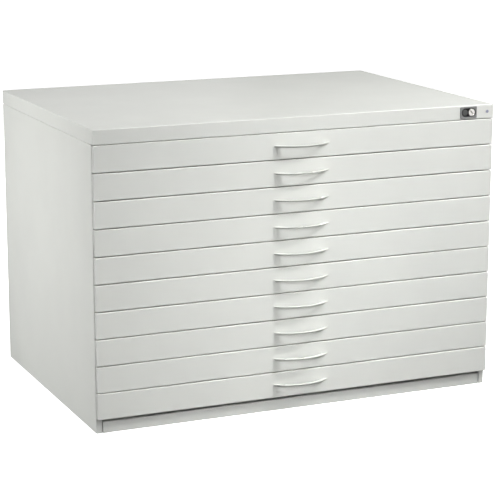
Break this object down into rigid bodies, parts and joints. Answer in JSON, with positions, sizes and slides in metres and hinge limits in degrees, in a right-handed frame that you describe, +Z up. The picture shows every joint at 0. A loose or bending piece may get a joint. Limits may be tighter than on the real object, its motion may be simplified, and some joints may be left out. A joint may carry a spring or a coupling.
{
  "type": "flat file cabinet",
  "caption": "Low steel cabinet with a stack of wide shallow drawers on telescopic runners, bow handles, a flat top cover with a key lock, and a plinth.",
  "frame": {"origin": "on the floor under the middle of the whole cabinet, handles included", "axes": "+Z up, +X to the right as seen from the front, the drawer fronts face -Y and the drawers open towards -Y"},
  "size_m": [1.1, 0.795, 0.76],
  "materials": {
    "case_paint": "fine textured light grey powder coat on folded sheet steel",
    "front_paint": "fine textured light grey powder coat, smooth folds",
    "tray_paint": "light grey powder coat, satin",
    "handle_paint": "light grey paint, satin",
    "zinc_steel": "zinc plated steel",
    "lock_plastic": "dark grey moulded plastic",
    "lock_nickel": "nickel plated, turned face"
  },
  "bodies": {
    "cabinet": {"side_left": "case_paint", "side_right": "case_paint", "slide_rack_left": "zinc_steel", "slide_rack_right": "zinc_steel", "top_cover": "case_paint", "back_panel": "case_paint", "base_tray": "case_paint", "lock_housing": "lock_plastic"},
    "drawer_01": {"drawer_01_front": "front_paint", "drawer_01_tray": "tray_paint", "drawer_01_handle": "handle_paint"},
    "drawer_01_runners": {"drawer_01_slide_left": "zinc_steel", "drawer_01_slide_right": "zinc_steel"},
    "drawer_02": {"drawer_02_front": "front_paint", "drawer_02_tray": "tray_paint", "drawer_02_handle": "handle_paint"},
    "drawer_02_runners": {"drawer_02_slide_left": "zinc_steel", "drawer_02_slide_right": "zinc_steel"},
    "drawer_03": {"drawer_03_front": "front_paint", "drawer_03_tray": "tray_paint", "drawer_03_handle": "handle_paint"},
    "drawer_03_runners": {"drawer_03_slide_left": "zinc_steel", "drawer_03_slide_right": "zinc_steel"},
    "drawer_04": {"drawer_04_front": "front_paint", "drawer_04_tray": "tray_paint", "drawer_04_handle": "handle_paint"},
    "drawer_04_runners": {"drawer_04_slide_left": "zinc_steel", "drawer_04_slide_right": "zinc_steel"},
    "drawer_05": {"drawer_05_front": "front_paint", "drawer_05_tray": "tray_paint", "drawer_05_handle": "handle_paint"},
    "drawer_05_runners": {"drawer_05_slide_left": "zinc_steel", "drawer_05_slide_right": "zinc_steel"},
    "drawer_06": {"drawer_06_front": "front_paint", "drawer_06_tray": "tray_paint", "drawer_06_handle": "handle_paint"},
    "drawer_06_runners": {"drawer_06_slide_left": "zinc_steel", "drawer_06_slide_right": "zinc_steel"},
    "drawer_07": {"drawer_07_front": "front_paint", "drawer_07_tray": "tray_paint", "drawer_07_handle": "handle_paint"},
    "drawer_07_runners": {"drawer_07_slide_left": "zinc_steel", "drawer_07_slide_right": "zinc_steel"},
    "drawer_08": {"drawer_08_front": "front_paint", "drawer_08_tray": "tray_paint", "drawer_08_handle": "handle_paint"},
    "drawer_08_runners": {"drawer_08_slide_left": "zinc_steel", "drawer_08_slide_right": "zinc_steel"},
    "drawer_09": {"drawer_09_front": "front_paint", "drawer_09_tray": "tray_paint", "drawer_09_handle": "handle_paint"},
    "drawer_09_runners": {"drawer_09_slide_left": "zinc_steel", "drawer_09_slide_right": "zinc_steel"},
    "drawer_10": {"drawer_10_front": "front_paint", "drawer_10_tray": "tray_paint", "drawer_10_handle": "handle_paint"},
    "drawer_10_runners": {"drawer_10_slide_left": "zinc_steel", "drawer_10_slide_right": "zinc_steel"},
    "lock_cylinder": {"lock_cylinder": "lock_nickel"},
    "lock_bar": {"lock_bar": "zinc_steel"}
  },
  "joints": [
    {"name": "drawer_01_slide", "type": "slide", "parent": "cabinet", "child": "drawer_01", "axis": [0, -1, 0], "range_m": [0, 0.65]},
    {"name": "drawer_01_runner_slide", "type": "slide", "parent": "cabinet", "child": "drawer_01_runners", "axis": [0, -1, 0], "range_m": [0, 0.325]},
    {"name": "drawer_02_slide", "type": "slide", "parent": "cabinet", "child": "drawer_02", "axis": [0, -1, 0], "range_m": [0, 0.65]},
    {"name": "drawer_02_runner_slide", "type": "slide", "parent": "cabinet", "child": "drawer_02_runners", "axis": [0, -1, 0], "range_m": [0, 0.325]},
    {"name": "drawer_03_slide", "type": "slide", "parent": "cabinet", "child": "drawer_03", "axis": [0, -1, 0], "range_m": [0, 0.65]},
    {"name": "drawer_03_runner_slide", "type": "slide", "parent": "cabinet", "child": "drawer_03_runners", "axis": [0, -1, 0], "range_m": [0, 0.325]},
    {"name": "drawer_04_slide", "type": "slide", "parent": "cabinet", "child": "drawer_04", "axis": [0, -1, 0], "range_m": [0, 0.65]},
    {"name": "drawer_04_runner_slide", "type": "slide", "parent": "cabinet", "child": "drawer_04_runners", "axis": [0, -1, 0], "range_m": [0, 0.325]},
    {"name": "drawer_05_slide", "type": "slide", "parent": "cabinet", "child": "drawer_05", "axis": [0, -1, 0], "range_m": [0, 0.65]},
    {"name": "drawer_05_runner_slide", "type": "slide", "parent": "cabinet", "child": "drawer_05_runners", "axis": [0, -1, 0], "range_m": [0, 0.325]},
    {"name": "drawer_06_slide", "type": "slide", "parent": "cabinet", "child": "drawer_06", "axis": [0, -1, 0], "range_m": [0, 0.65]},
    {"name": "drawer_06_runner_slide", "type": "slide", "parent": "cabinet", "child": "drawer_06_runners", "axis": [0, -1, 0], "range_m": [0, 0.325]},
    {"name": "drawer_07_slide", "type": "slide", "parent": "cabinet", "child": "drawer_07", "axis": [0, -1, 0], "range_m": [0, 0.65]},
    {"name": "drawer_07_runner_slide", "type": "slide", "parent": "cabinet", "child": "drawer_07_runners", "axis": [0, -1, 0], "range_m": [0, 0.325]},
    {"name": "drawer_08_slide", "type": "slide", "parent": "cabinet", "child": "drawer_08", "axis": [0, -1, 0], "range_m": [0, 0.65]},
    {"name": "drawer_08_runner_slide", "type": "slide", "parent": "cabinet", "child": "drawer_08_runners", "axis": [0, -1, 0], "range_m": [0, 0.325]},
    {"name": "drawer_09_slide", "type": "slide", "parent": "cabinet", "child": "drawer_09", "axis": [0, -1, 0], "range_m": [0, 0.65]},
    {"name": "drawer_09_runner_slide", "type": "slide", "parent": "cabinet", "child": "drawer_09_runners", "axis": [0, -1, 0], "range_m": [0, 0.325]},
    {"name": "drawer_10_slide", "type": "slide", "parent": "cabinet", "child": "drawer_10", "axis": [0, -1, 0], "range_m": [0, 0.65]},
    {"name": "drawer_10_runner_slide", "type": "slide", "parent": "cabinet", "child": "drawer_10_runners", "axis": [0, -1, 0], "range_m": [0, 0.325]},
    {"name": "lock_bar_slide", "type": "slide", "parent": "cabinet", "child": "lock_bar", "axis": [0, 0, -1], "range_m": [0, 0.01]},
    {"name": "lock_turn", "type": "hinge", "parent": "cabinet", "child": "lock_cylinder", "pos_m": [0.485, -0.3675, 0.7415], "axis": [0, 1, 0], "range_deg": [0, 90]}
  ],
  "couplings": [
    {"joint": "drawer_01_runner_slide", "follows": "drawer_01_slide", "ratio": 0.5},
    {"joint": "drawer_02_runner_slide", "follows": "drawer_02_slide", "ratio": 0.5},
    {"joint": "drawer_03_runner_slide", "follows": "drawer_03_slide", "ratio": 0.5},
    {"joint": "drawer_04_runner_slide", "follows": "drawer_04_slide", "ratio": 0.5},
    {"joint": "drawer_05_runner_slide", "follows": "drawer_05_slide", "ratio": 0.5},
    {"joint": "drawer_06_runner_slide", "follows": "drawer_06_slide", "ratio": 0.5},
    {"joint": "drawer_07_runner_slide", "follows": "drawer_07_slide", "ratio": 0.5},
    {"joint": "drawer_08_runner_slide", "follows": "drawer_08_slide", "ratio": 0.5},
    {"joint": "drawer_09_runner_slide", "follows": "drawer_09_slide", "ratio": 0.5},
    {"joint": "drawer_10_runner_slide", "follows": "drawer_10_slide", "ratio": 0.5},
    {"joint": "lock_turn", "follows": "lock_bar_slide", "rad_per_m": 157.07}
  ]
}
